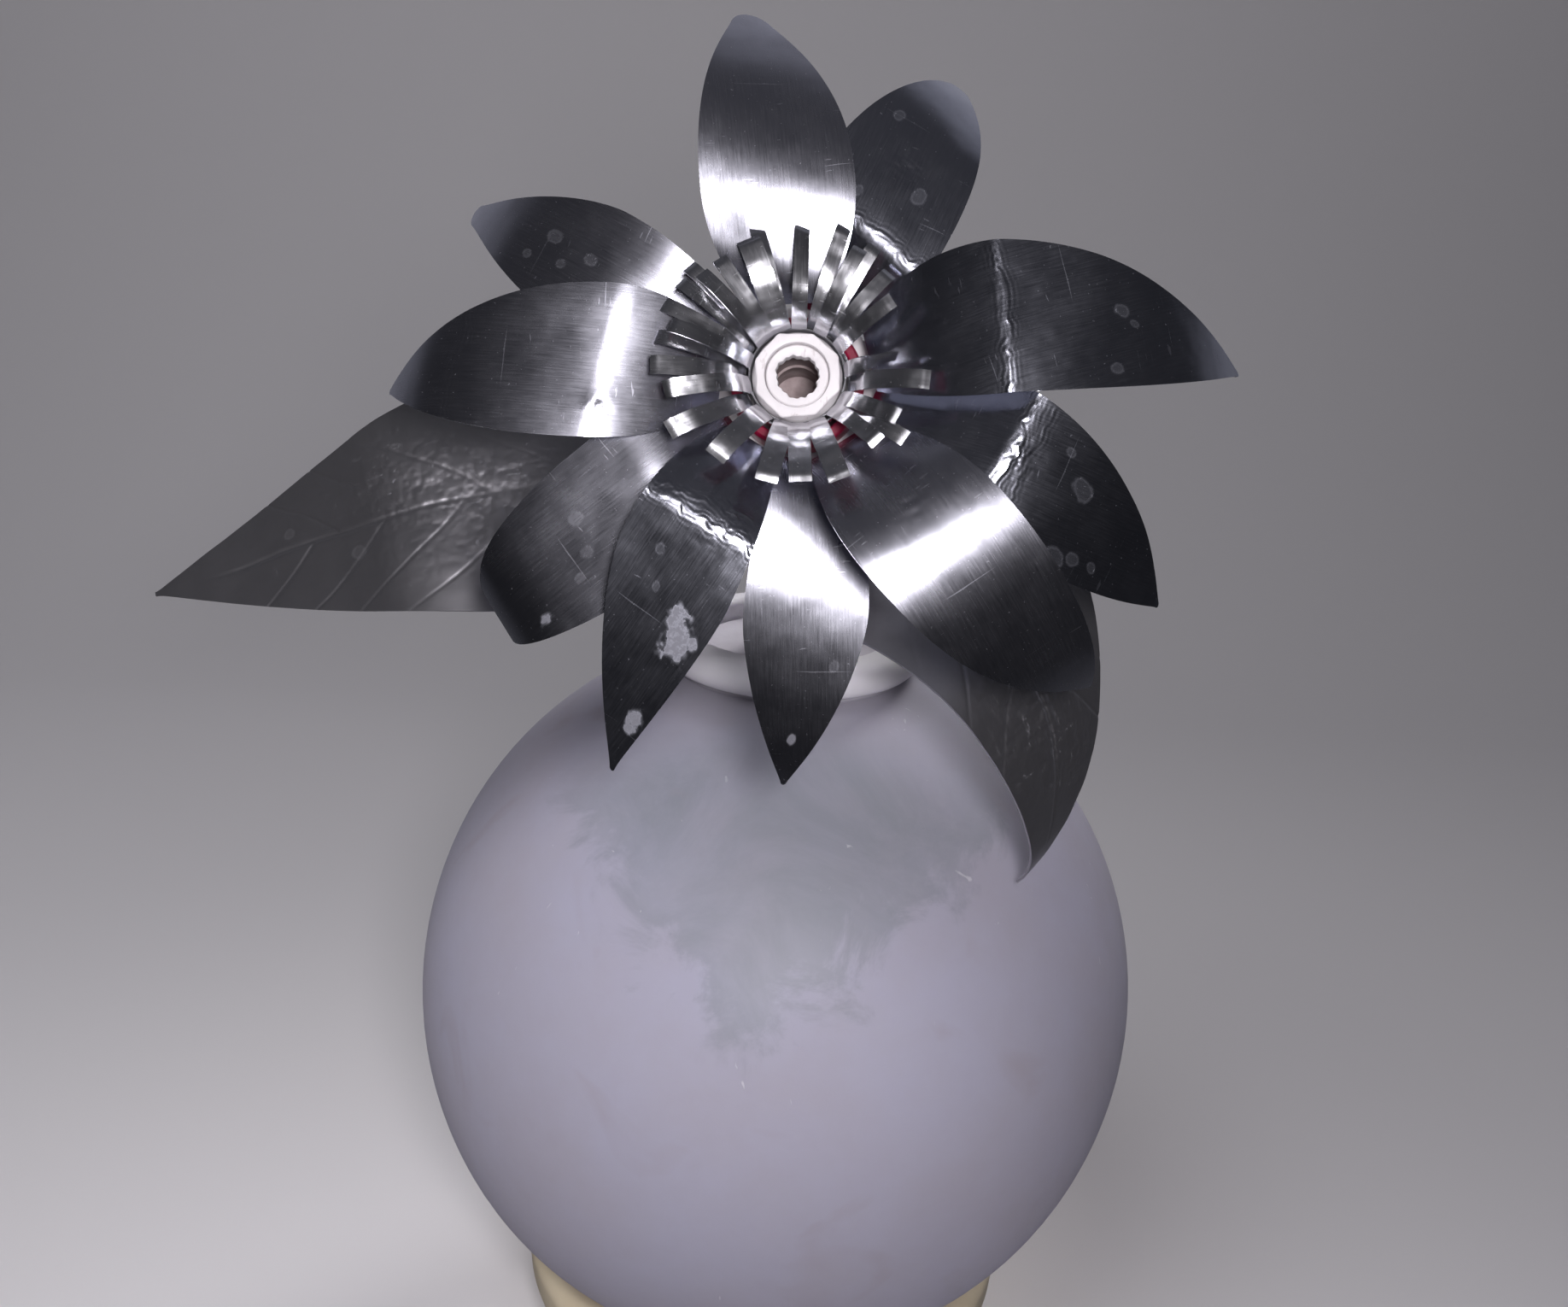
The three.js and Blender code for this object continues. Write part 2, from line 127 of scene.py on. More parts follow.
def add_area_light(name, place, target, size, power, color):
    """A round lamp at one place, in metres, that shines on another."""
    data = bpy.data.lights.new(name, "AREA")
    data.shape = "DISK"
    data.size = size
    data.energy = power
    data.color = color
    lamp = bpy.data.objects.new(name, data)
    aim = (Vector(target) - Vector(place)).to_track_quat("-Z", "Y")
    lamp.matrix_world = Matrix.Translation(place) @ aim.to_matrix().to_4x4()
    bpy.context.scene.collection.objects.link(lamp)
    return lamp


add_camera()
add_area_light("key", (0.03, -0.38, 0.375), (0, -0.08, 0.26), 0.06, 1.0, (1.0, 0.97, 1.0))
fill = add_area_light("fill", (-0.5, -0.5, 1.2), (0, 0.2, 0.2), 0.9, 9.0, (0.97, 0.97, 1.0))
fill.visible_glossy = False
back = add_area_light("back", (0.3, 0.45, 0.6), (0, 0, 0.25), 0.3, 0.3, (1.0, 0.98, 0.97))
back.data.spread = math.radians(50)
back.visible_glossy = False


def add_world():
    """A dim room: darker towards the viewer and below, lighter above and behind the object."""
    world = bpy.data.worlds.new("world")
    world.use_nodes = True
    tree = world.node_tree
    background = tree.nodes["Background"]
    coordinates = tree.nodes.new("ShaderNodeTexCoord")
    split = tree.nodes.new("ShaderNodeSeparateXYZ")
    tree.links.new(coordinates.outputs["Generated"], split.inputs[0])

    def ramp(axis, *stops):
        to_unit = tree.nodes.new("ShaderNodeMapRange")
        to_unit.inputs["From Min"].default_value = -1
        to_unit.inputs["From Max"].default_value = 1
        tree.links.new(split.outputs[axis], to_unit.inputs["Value"])
        node = tree.nodes.new("ShaderNodeValToRGB")
        tree.links.new(to_unit.outputs["Result"], node.inputs["Fac"])
        elements = node.color_ramp.elements
        while len(elements) < len(stops):
            elements.new(0.5)
        for element, (position, grey) in zip(elements, stops):
            element.position = (position + 1) / 2
            element.color = (0.95 * grey, 0.96 * grey, 1.1 * grey, 1)
        return node.outputs["Color"]

    above = tree.nodes.new("ShaderNodeMapRange")
    above.inputs["From Min"].default_value = -0.4
    above.inputs["From Max"].default_value = 0.3
    above.inputs["To Min"].default_value = 0.15
    tree.links.new(split.outputs["Z"], above.inputs["Value"])
    total = tree.nodes.new("ShaderNodeMix")
    total.data_type = "RGBA"
    total.blend_type = "ADD"
    tree.links.new(above.outputs["Result"], total.inputs["Factor"])
    tree.links.new(ramp("Z", (-0.2, 0.012), (0.2, 0.018), (0.6, 0.026), (0.95, 0.05)), total.inputs[6])
    tree.links.new(ramp("Y", (0.1, 0.0), (0.35, 0.14), (0.7, 0.28)), total.inputs[7])
    tree.links.new(total.outputs[2], background.inputs["Color"])
    bpy.context.scene.world = world


add_world()

# ---- shader building ------------------------------------------------------------------


class Shader:
    """A Principled material and short calls for the nodes that feed it."""

    def __init__(self, name, **sockets):
        self.material = bpy.data.materials.new(name)
        self.material.use_nodes = True
        self.tree = self.material.node_tree
        self.principled = self.tree.nodes["Principled BSDF"]
        for socket, value in sockets.items():
            self.principled.inputs[socket.replace("_", " ")].default_value = value

    def node(self, kind, inputs=None, **settings):
        node = self.tree.nodes.new("ShaderNode" + kind)
        for key, value in settings.items():
            setattr(node, key, value)
        for key, value in (inputs or {}).items():
            self.feed(node.inputs[key], value)
        return node

    def feed(self, socket, value):
        if isinstance(value, bpy.types.NodeSocket):
            self.tree.links.new(value, socket)
        else:
            socket.default_value = value

    def object_place(self):
        return self.node("TexCoord").outputs["Object"]

    def attribute(self, name, output="Vector"):
        return self.node("Attribute", attribute_name=name).outputs[output]

    def stretched(self, place, scale):
        return self.node("Mapping", {"Vector": place, "Scale": scale}).outputs["Vector"]

    def noise(self, place, scale, detail=3.0, roughness=0.55, distortion=0.0):
        inputs = {"Vector": place, "Scale": scale, "Detail": detail}
        inputs |= {"Roughness": roughness, "Distortion": distortion}
        return self.node("TexNoise", inputs).outputs["Fac"]

    def remap(self, value, low, high, to_low=0.0, to_high=1.0, smooth=False):
        node = self.node(
            "MapRange",
            {"Value": value, "From Min": low, "From Max": high, "To Min": to_low, "To Max": to_high},
            interpolation_type="SMOOTHSTEP" if smooth else "LINEAR",
        )
        return node.outputs["Result"]

    def math(self, operation, a, b):
        node = self.node("Math", operation=operation)
        self.feed(node.inputs[0], a)
        self.feed(node.inputs[1], b)
        return node.outputs["Value"]

    def mix(self, share, a, b):
        node = self.node("Mix", data_type="RGBA")
        self.feed(node.inputs["Factor"], share)
        self.feed(node.inputs[6], a if isinstance(a, bpy.types.NodeSocket) else (*a, 1))
        self.feed(node.inputs[7], b if isinstance(b, bpy.types.NodeSocket) else (*b, 1))
        return node.outputs[2]

    def blend(self, share, a, b):
        node = self.node("Mix", data_type="FLOAT")
        self.feed(node.inputs["Factor"], share)
        self.feed(node.inputs[2], a)
        self.feed(node.inputs[3], b)
        return node.outputs[0]

    def bump(self, height, distance):
        inputs = {"Height": height, "Distance": distance, "Strength": 1.0}
        return self.node("Bump", inputs).outputs["Normal"]

    def set(self, **sockets):
        for socket, value in sockets.items():
            self.feed(self.principled.inputs[socket.replace("_", " ")], value)


def aluminium(name, roughness, grain, tone, metal=1.0):
    """Sheet aluminium with a lengthwise grain. Place runs on the sheet: x along, y across, in mm."""
    s = Shader(name, Metallic=1.0, Anisotropic=0.35)
    place = s.attribute("sheet")
    stain = s.attribute("stain", "Fac")
    fine = s.noise(s.stretched(place, (0.16, 4.2, 1)), 1.0, 4.0, 0.65)
    brushed = s.noise(s.stretched(place, (0.05, 1.1, 1)), 1.0, 3.0, 0.5)
    cloud = s.noise(place, 0.08, 5.0, 0.62)
    flake = s.noise(place, 0.9, 4.0, 0.7)
    scratches = s.noise(s.stretched(place, (0.9, 0.07, 1)), 1.0, 2.0, 0.5, 1.4)
    specks = s.remap(s.noise(place, 1.5, 2.0, 0.5), 0.7, 0.74)
    ragged = s.remap(s.math("ADD", stain, s.remap(flake, 0.3, 0.7, -0.3, 0.3)), 0.3, 0.62)
    faint = s.math("MULTIPLY", s.remap(stain, 0.0, 1.0), 0.5)
    dirt = s.math("MAXIMUM", s.math("MULTIPLY", specks, 0.14), s.math("MAXIMUM", ragged, faint))
    dull = s.mix(s.remap(cloud, 0.35, 0.7), tone, tuple(0.84 * c for c in tone))
    streaks = s.remap(fine, 0.3, 0.7, roughness - 0.025, roughness + 0.035)
    rough = s.math("ADD", streaks, s.remap(cloud, 0.35, 0.7, -0.02, 0.05))
    worn = s.math("MULTIPLY", s.remap(scratches, 0.71, 0.74), 0.09)
    height = s.math("ADD", s.math("ADD", fine, brushed), s.math("MULTIPLY", ragged, 0.6))
    s.set(
        Base_Color=s.mix(dirt, dull, (0.2, 0.2, 0.23)),
        Roughness=s.blend(dirt, s.math("ADD", rough, worn), 0.7),
        Metallic=s.blend(dirt, metal, 0.5),
        Normal=s.bump(height, grain * MM),
    )
    tangent = s.node("Tangent", direction_type="UV_MAP", uv_map="sheet_uv").outputs["Tangent"]
    s.feed(s.principled.inputs["Tangent"], tangent)
    return s.material


satin = aluminium("aluminium_satin", 0.23, 0.003, (0.56, 0.56, 0.63))
glossy = aluminium("aluminium_glossy", 0.18, 0.0018, (0.54, 0.55, 0.63))
dull = aluminium("aluminium_dull", 0.38, 0.004, (0.46, 0.45, 0.48), metal=0.95)
foil = aluminium("aluminium_foil", 0.22, 0.004, (0.74, 0.74, 0.78))


def white_plastic():
    """Aged white plastic with scuffs along the pipe."""
    s = Shader("white_plastic", IOR=1.49)
    place = s.object_place()
    cloud = s.noise(place, 60, 4.0)
    scuffs = s.noise(s.stretched(place, (900, 900, 120)), 1.0, 3.0, 0.6)
    color = s.mix(s.remap(cloud, 0.35, 0.7), (0.6, 0.575, 0.59), (0.5, 0.47, 0.485))
    s.set(
        Base_Color=s.mix(s.remap(scuffs, 0.6, 0.72), color, (0.42, 0.38, 0.39)),
        Roughness=s.remap(cloud, 0.3, 0.7, 0.4, 0.6),
        Normal=s.bump(scuffs, 0.05 * MM),
    )
    return s.material


def dark_red_plastic():
    """Shiny dark red plastic."""
    s = Shader("dark_red_plastic", IOR=1.5, Coat_Weight=0.3)
    place = s.object_place()
    cloud = s.noise(place, 180, 3.0)
    s.set(
        Base_Color=s.mix(s.remap(cloud, 0.35, 0.65), (0.24, 0.003, 0.03), (0.13, 0.0015, 0.018)),
        Roughness=s.remap(cloud, 0.3, 0.7, 0.25, 0.42),
        Normal=s.bump(cloud, 0.06 * MM),
    )
    return s.material


def brown_lining():
    """Rough brown lining."""
    s = Shader("brown_lining")
    place = s.object_place()
    cloud = s.noise(place, 300, 4.0)
    s.set(
        Base_Color=s.mix(s.remap(cloud, 0.3, 0.7), (0.36, 0.29, 0.29), (0.22, 0.17, 0.17)),
        Roughness=s.remap(cloud, 0.3, 0.7, 0.6, 0.85),
        Normal=s.bump(cloud, 0.15 * MM),
    )
    return s.material


def frosted_glass():
    """Frosted glass with a greyer, clearer smear that ends in a ragged point on its front."""
    s = Shader("frosted_glass", IOR=1.5, Subsurface_Weight=0.25, Subsurface_Scale=0.004)
    s.principled.inputs["Subsurface Radius"].default_value = (1.0, 0.9, 1.1)
    place = s.object_place()
    split = s.node("SeparateXYZ", {"Vector": place})
    x, y, z = (split.outputs[axis] for axis in "XYZ")
    cloud = s.noise(place, 22, 5.0, 0.62)
    ragged = s.remap(s.noise(place, 42, 6.0, 0.66, 0.6), 0.3, 0.7, -0.016, 0.016)
    aside = s.math("ABSOLUTE", s.math("ADD", x, 0.004), 0)
    edge = s.math("ADD", s.math("MULTIPLY", aside, 0.7), 0.16)
    above = s.math("ADD", s.math("SUBTRACT", z, edge), ragged)
    front = s.remap(y, -0.03, -0.05)
    smear = s.math("MULTIPLY", s.remap(above, -0.006, 0.007, smooth=True), front)
    smudges = s.remap(s.noise(place, 30, 3.0, 0.5, 1.0), 0.62, 0.74)
    scratches = s.noise(s.stretched(place, (240, 240, 20)), 1.0, 2.0, 0.5, 1.2)
    marks = s.remap(scratches, 0.75, 0.78)
    flakes = s.remap(s.noise(place, 130, 4.0, 0.7), 0.74, 0.77)
    grit = s.noise(place, 420, 3.0, 0.6)
    color = s.mix(s.remap(cloud, 0.3, 0.7), (0.365, 0.355, 0.445), (0.345, 0.325, 0.385))
    uneven = s.remap(s.noise(place, 34, 5.0, 0.7, 0.8), 0.3, 0.65, 0.25, 0.62)
    thin = s.math("MULTIPLY", smear, uneven)
    color = s.mix(thin, color, (0.19, 0.21, 0.23))
    color = s.mix(s.math("MULTIPLY", smudges, 0.35), color, (0.29, 0.25, 0.27))
    worn = s.math("MAXIMUM", marks, flakes)
    color = s.mix(s.math("MULTIPLY", worn, 0.4), color, (0.7, 0.68, 0.72))
    neck = (GLOBE_CENTRE + 96.5) * MM
    # painted light: the rolled lip is painted lighter than the rest of the globe, standing in for the
    # light on it
    lip = s.remap(z, neck, neck + 0.002)
    # painted shade: a darker band painted on the neck just under the lip, where the lip overhangs
    painted_shade_under_lip = s.math("MULTIPLY", s.remap(z, neck - 0.006, neck), s.math("SUBTRACT", 1.0, lip))
    color = s.mix(s.math("MULTIPLY", painted_shade_under_lip, 0.6), color, (0.2, 0.19, 0.21))
    color = s.mix(s.math("MULTIPLY", lip, 0.8), color, (0.8, 0.78, 0.82))
    frost = s.remap(cloud, 0.3, 0.7, 0.62, 0.78)
    s.set(
        Base_Color=color,
        Roughness=s.math("SUBTRACT", frost, s.math("MULTIPLY", smear, 0.12)),
        Normal=s.bump(s.math("ADD", s.math("MULTIPLY", grit, 0.5), worn), 0.05 * MM),
    )
    return s.material


def cream_enamel():
    """Glossy cream paint, a little uneven."""
    s = Shader("cream_enamel", IOR=1.5, Coat_Weight=0.4, Coat_Roughness=0.2)
    place = s.object_place()
    cloud = s.noise(place, 35, 4.0)
    s.set(
        Base_Color=s.mix(s.remap(cloud, 0.3, 0.7), (0.72, 0.63, 0.46), (0.64, 0.54, 0.38)),
        Roughness=s.remap(cloud, 0.3, 0.7, 0.32, 0.46),
        Normal=s.bump(s.noise(place, 260, 3.0), 0.05 * MM),
    )
    return s.material


def grey_board():
    """Pale grey board with a fine fibre."""
    s = Shader("grey_board")
    place = s.object_place()
    cloud = s.noise(place, 70, 4.0)
    fibre = s.noise(place, 900, 3.0, 0.6)
    s.set(
        Base_Color=s.mix(s.remap(cloud, 0.3, 0.7), (0.6, 0.58, 0.64), (0.5, 0.47, 0.53)),
        Roughness=s.remap(fibre, 0.3, 0.7, 0.65, 0.85),
        Normal=s.bump(fibre, 0.1 * MM),
    )
    return s.material


def tie_strip():
    """Dull grey metal strip with a fine grain."""
    s = Shader("tie_strip", Metallic=1.0)
    place = s.object_place()
    cloud = s.noise(place, 260, 4.0)
    fine = s.noise(s.stretched(place, (300, 300, 2200)), 1.0, 3.0, 0.6)
    s.set(
        Base_Color=s.mix(s.remap(cloud, 0.3, 0.7), (0.42, 0.4, 0.42), (0.3, 0.29, 0.3)),
        Roughness=s.remap(fine, 0.3, 0.7, 0.38, 0.55),
        Normal=s.bump(fine, 0.02 * MM),
    )
    return s.material


# ---- mesh building --------------------------------------------------------------------

# rows along and columns across each kind of sheet
PLAIN_GRID = (200, 76)
CREASED_GRID = (330, 100)
LEAF_GRID = (380, 140)
FINGER_GRID = (44, 9)
BAND_GRID = (8, 97)


def link_mesh(name, vertices, faces, material, body, smooth_angle):
    """One piece from vertices in mm; folds sharper than smooth_angle degrees stay crisp."""
    mesh = bpy.data.meshes.new(name)
    mesh.from_pydata((np.asarray(vertices, float) * MM).tolist(), [], [tuple(map(int, f)) for f in faces])
    mesh.validate()
    mesh.update()
    mesh.shade_smooth()
    mesh.set_sharp_from_angle(angle=math.radians(smooth_angle))
    mesh.materials.append(material)
    piece = bpy.data.objects.new(name, mesh)
    bpy.context.scene.collection.objects.link(piece)
    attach(piece, body)
    return piece


def placed(matrix, points):
    """Points moved by a matrix, as one array."""
    points = np.asarray(points, float)
    rotation = np.array(matrix.to_3x3())
    return points @ rotation.T + np.array(matrix.translation)


def value_noise(x, y, seed):
    """Smooth noise from -1 to 1 on arrays x and y, with features one unit wide."""
    size = 64
    table = np.random.default_rng(seed).uniform(-1, 1, (size, size))
    xi = np.floor(x).astype(int)
    yi = np.floor(y).astype(int)
    fx = x - xi
    fy = y - yi
    fx = fx * fx * fx * (fx * (6 * fx - 15) + 10)
    fy = fy * fy * fy * (fy * (6 * fy - 15) + 10)
    a = table[xi % size, yi % size]
    b = table[(xi + 1) % size, yi % size]
    c = table[xi % size, (yi + 1) % size]
    d = table[(xi + 1) % size, (yi + 1) % size]
    return (a * (1 - fx) + b * fx) * (1 - fy) + (c * (1 - fx) + d * fx) * fy


def crumple(x, y, seed):
    """Faceted noise from about 0 to 1: flat places between sharp folds."""
    total = np.zeros_like(x)
    size = 1.0
    for i in range(3):
        total += size * np.abs(value_noise(x * 2**i, y * 2**i, seed + i))
        size *= 0.5
    return total


def smoothstep(t):
    """An even rise from 0 to 1 that starts and ends level."""
    t = np.clip(t, 0, 1)
    return t * t * (3 - 2 * t)


def slope_from(bends):
    """Slope in degrees at any station, even between one bend and the next."""
    stations, slopes = zip(*bends)
    return lambda at: np.interp(at, stations, slopes)


def bent_sheet(u, v, slope, skew, reach):
    """Points and normals of a sheet bent along parallel lines at the skew angle."""
    turn = math.radians(skew)
    a = u * math.cos(turn) + v * math.sin(turn)
    b = v * math.cos(turn) - u * math.sin(turn)
    stations = np.arange(-30, reach, 0.1)
    angles = np.radians(slope(stations))
    along = np.concatenate([[0], np.cumsum(0.05 * (np.cos(angles[1:]) + np.cos(angles[:-1])))])
    up = -np.concatenate([[0], np.cumsum(0.05 * (np.sin(angles[1:]) + np.sin(angles[:-1])))])
    along -= np.interp(0, stations, along)
    up -= np.interp(0, stations, up)
    x = np.interp(a, stations, along)
    z = np.interp(a, stations, up)
    tilt = np.radians(slope(a))
    cos, sin = math.cos(turn), math.sin(turn)
    points = np.stack([x * cos - b * sin, x * sin + b * cos, z], -1)
    normals = np.stack([np.sin(tilt) * cos, np.sin(tilt) * sin, np.cos(tilt)], -1)
    return points, normals


def sheet_arrays(matrix, grid, thickness, stain=None):
    """Vertices, faces, places on the sheet and stains of a closed thin sheet.

    grid: u, v, points and normals, each over rows and columns."""
    u, v, points, normals = grid
    rows, columns = u.shape
    front = placed(matrix, (points + normals * thickness / 2).reshape(-1, 3))
    rear = placed(matrix, (points - normals * thickness / 2).reshape(-1, 3))
    k = np.arange(rows * columns).reshape(rows, columns)
    back = rows * columns
    quads = np.stack([k[:-1, :-1], k[1:, :-1], k[1:, 1:], k[:-1, 1:]], -1).reshape(-1, 4)
    rim = np.concatenate([k[:-1, 0], k[-1, :-1], k[:0:-1, -1], k[0, :0:-1]])
    following = np.roll(rim, -1)
    sides = np.stack([rim, rim + back, following + back, following], -1)
    faces = np.concatenate([quads, quads[:, ::-1] + back, sides])
    flat = np.stack([u, v, np.zeros_like(u)], -1).reshape(-1, 3)
    amount = np.zeros(rows * columns) if stain is None else stain.ravel()
    return (
        np.concatenate([front, rear]),
        faces,
        np.concatenate([flat, flat + [0, 200, 0]]),
        np.concatenate([amount, 0 * amount]),
    )


def sheet_piece(name, node, sheets, material, body):
    """One piece made of one or more closed sheets, with its places, stains and grain stored."""
    offsets = np.cumsum([0] + [len(sheet[0]) for sheet in sheets])
    vertices = np.concatenate([sheet[0] for sheet in sheets])
    faces = np.concatenate([sheet[1] + offset for sheet, offset in zip(sheets, offsets)])
    places = np.concatenate([sheet[2] for sheet in sheets])
    stains = np.concatenate([sheet[3] for sheet in sheets])
    piece = link_mesh(name, vertices, faces, material, body, 50)
    mesh = piece.data
    values = mesh.attributes.new("sheet", "FLOAT_VECTOR", "POINT")
    values.data.foreach_set("vector", places.astype(np.float32).ravel())
    values = mesh.attributes.new("stain", "FLOAT", "POINT")
    values.data.foreach_set("value", stains.astype(np.float32))
    layer = mesh.uv_layers.new(name="sheet_uv")
    corner = np.zeros(len(mesh.loops), int)
    mesh.loops.foreach_get("vertex_index", corner)
    layer.data.foreach_set("uv", (places[corner, :2] / 100).astype(np.float32).ravel())
    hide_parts(node)
    return piece


def ring_faces(index, closed):
    """Quads between following rings of vertex numbers; a ring may be a single point."""
    faces = []
    count = len(index)
    for i in range(count if closed else count - 1):
        below, above = index[i], index[(i + 1) % count]
        for j in range(len(below)):
            n = (j + 1) % len(below)
            face = list(dict.fromkeys([below[j], below[n], above[n], above[j]]))
            if len(face) > 2:
                faces.append(face)
    return faces


def lathe(name, node, profile, matrix, material, body, segments=96, shape=None):
    """A closed profile of (radius, height) turned round the local Z axis.

    shape(row, angles) gives what is added to radius and height of one row."""
    angles = np.linspace(0, 2 * math.pi, segments, endpoint=False)
    vertices = []
    index = []
    for i, (radius, height) in enumerate(profile):
        if radius < 1e-6:
            index.append(np.full(segments, len(vertices)))
            vertices.append((0, 0, height))
            continue
        extra, lift = shape(i, angles) if shape else (0, 0)
        r = radius + extra + 0 * angles
        index.append(len(vertices) + np.arange(segments))
        level = height + lift + 0 * angles
        vertices.extend(np.stack([r * np.cos(angles), r * np.sin(angles), level], -1))
    closed = profile[0][0] > 1e-6 or profile[-1][0] > 1e-6
    faces = ring_faces(index, closed)
    piece = link_mesh(name, placed(matrix, vertices), faces, material, body, 35)
    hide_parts(node)
    return piece


def arc(centre_radius, centre_height, radius, start, end, steps):
    """Points of a profile on a circle, from one angle to another in degrees."""
    angles = np.radians(np.linspace(start, end, steps + 1))
    return [(centre_radius + radius * math.cos(t), centre_height + radius * math.sin(t)) for t in angles]


# ---- petals ---------------------------------------------------------------------------

# The same blanks and bends as the CAD petals, in mm and degrees.
# bends: (station, slope) along the sheet. tip: half the width left at the tip.
# creases: (station, height, width) of a sharp crinkled fold.
# flakes, scuffs, rings: dried water and dirt at (along, across, size) on the sheet.
# dents: crinkled patches, placed in the same way.
PETALS = [
    dict(
        BROAD, turn=99, layer=FRONT + 2, roll=5, skew=-20, length=62, sweep=0, tip=3,
        bends=[(0, -50), (8, -25), (14, -18), (22, -6), (36, 20), (62, 45)], finish="satin",
    ),
    dict(
        BROAD, turn=68, layer=BACK - 1, roll=5, skew=-15, length=62, sweep=-0.1, tip=2,
        bends=[(0, -42), (16, -36), (19, 2), (35, 12), (62, 60)], finish="glossy",
        creases=[(18, 0.1, 0.34)], rings=[(41, 6, 1.2), (28, -5, 1.6), (24, 5, 1)], dents=[(32, -2, 3)],
    ),
    dict(
        BROAD, turn=20, layer=FRONT, roll=5, skew=-10, length=80, sweep=-0.3,
        bends=[(0, -50), (12, -40), (27, -22), (29, 8), (45, 18), (80, 48)], finish="glossy",
        creases=[(28, 0.16, 0.34)], rings=[(50, 2, 1.4), (52, 0, 0.9), (46, -9, 1.2)],
    ),
    dict(
        BROAD, turn=-18, layer=BACK, roll=5, skew=-10, length=78, sweep=-0.2,
        bends=[(0, -40), (28, -20), (31, 14), (45, 28), (78, 50)], finish="glossy",
        creases=[(30, 0.16, 0.34), (33, 0.08, 0.4)], dents=[(33, -1, 3)],
        rings=[(46, 4, 2.2), (41, 8, 1), (46, -9, 2), (50, -7, 1.4), (55, -6, 1.1)],
    ),
    dict(
        BROAD, turn=-52, layer=FRONT, roll=0, skew=-5, length=88, sweep=0.15,
        bends=[(0, -55), (20, -30), (33, 5), (46, 35), (88, 75)], finish="satin", dents=[(23, 1, 3)],
    ),
    dict(
        NARROW, turn=-84, layer=BACK, roll=-10, skew=-25, length=68, sweep=-0.1,
        bends=[(0, -40), (10, -5), (22, 10), (34, 25), (68, 55)], finish="satin",
        flakes=[(56, 0, 0.8)], rings=[(40, 6, 1)],
    ),
    dict(
        NARROW, turn=-122, layer=FRONT + 1, roll=-5, skew=5, length=71, sweep=0.2,
        bends=[(0, -45), (18, -26), (21, -10), (23, 14), (45, 20), (71, 25)], finish="glossy",
        creases=[(22, 0.16, 0.36), (19.5, 0.1, 0.5), (17, 0.07, 0.6)], dents=[(20, 5, 4)],
        flakes=[(42, 5, 2.6), (39, 4, 1.8), (60, 2, 1.6), (41, 8, 0.9)],
        rings=[(36, -2, 0.9), (30, -4, 1)],
    ),
    dict(
        BROAD, turn=-140, layer=BACK, roll=-5, skew=-5, length=76, sweep=0, tip=2,
        bends=[(0, -40), (14, -22), (18, -8), (22, 6), (48, 16), (62, 65), (76, 110)], finish="satin",
        flakes=[(52, 7, 1)], rings=[(38, 2, 1.2), (42, 5, 1), (36, -4, 1.4)],
    ),
    dict(
        BROAD, turn=178, layer=FRONT + 1.5, roll=-5, skew=-10, length=70, sweep=0.1,
        bends=[(0, -45), (10, -32), (20, -21), (24, -4), (33, 4), (50, 25), (70, 60)], finish="satin",
        creases=[(50, 0.08, 0.8)], dents=[(24, 9, 2)],
    ),
    dict(
        NARROW, turn=154, layer=BACK, roll=-5, skew=0, length=66, sweep=0, tip=2,
        bends=[(0, -32), (12, -20), (20, -5), (30, 10), (66, 50)], finish="satin",
        rings=[(40, -2, 1.5), (36, 2, 1), (44, 3, 1), (31, -1, 1.2)],
    ),
]


def drops(u, v, spec, seed):
    """Dried water and dirt: flakes are solid, scuffs are fine lines, rings have a clearer rim."""
    stain = np.zeros_like(u)
    wobble = 0.35 * value_noise(u / 1.6, v / 1.6, seed) + 0.2 * value_noise(u / 0.7, v / 0.7, seed + 5)
    for along, across, size in spec.get("flakes", []):
        far = np.hypot((u - along) / 1.5, v - across) / size + wobble
        stain = np.maximum(stain, 0.62 * (1 - smoothstep((far - 0.7) / 0.6)))
    for along, across, size in spec.get("scuffs", []):
        patch = np.exp(-((np.hypot((u - along) / 1.4, v - across) / size) ** 2))
        lines = 1 - smoothstep(crumple(u / 5, v / 2.2, seed + 11) / 0.3)
        stain = np.maximum(stain, 0.75 * patch * lines)
    for along, across, size in spec.get("rings", []):
        far = np.hypot(u - along, (v - across) / 0.8) / size + 0.5 * wobble
        rim = 0.22 * np.exp(-(((far - 0.9) / 0.16) ** 2))
        stain = np.maximum(stain, np.maximum(rim, 0.1 * (1 - smoothstep((far - 0.8) / 0.3))))
    return stain


def crinkles(u, v, a, b, spec, seed):
    """Height of the sharp folds and of the crinkled patches."""
    height = np.zeros_like(u)
    for i, (station, rise, width) in enumerate(spec.get("creases", [])):
        row = 0 * b + i
        wander = 1.2 * value_noise(b / 6, row, seed + 20) + 0.55 * value_noise(b / 1.7, row, seed + 21)
        wander += 0.2 * value_noise(b / 0.8, row, seed + 23)
        strength = 0.7 + 0.3 * value_noise(b / 3.5, row, seed + 22)
        away = a - station - wander
        height += 0.6 * rise * strength * np.exp(-((away / width) ** 2))
        ripple = np.sin(2 * math.pi * (away + 0.4 * value_noise(b / 2.2, a / 1.5, seed + 24)) / 0.95)
        height += 0.22 * rise * ripple * np.exp(-((away / 1.7) ** 2))
    for along, across, size in spec.get("dents", []):
        patch = np.exp(-((np.hypot(u - along, v - across) / size) ** 2))
        height += 0.14 * patch * (crumple(a / 2.4, b / 3.2, seed + 3) - 0.4)
    return height


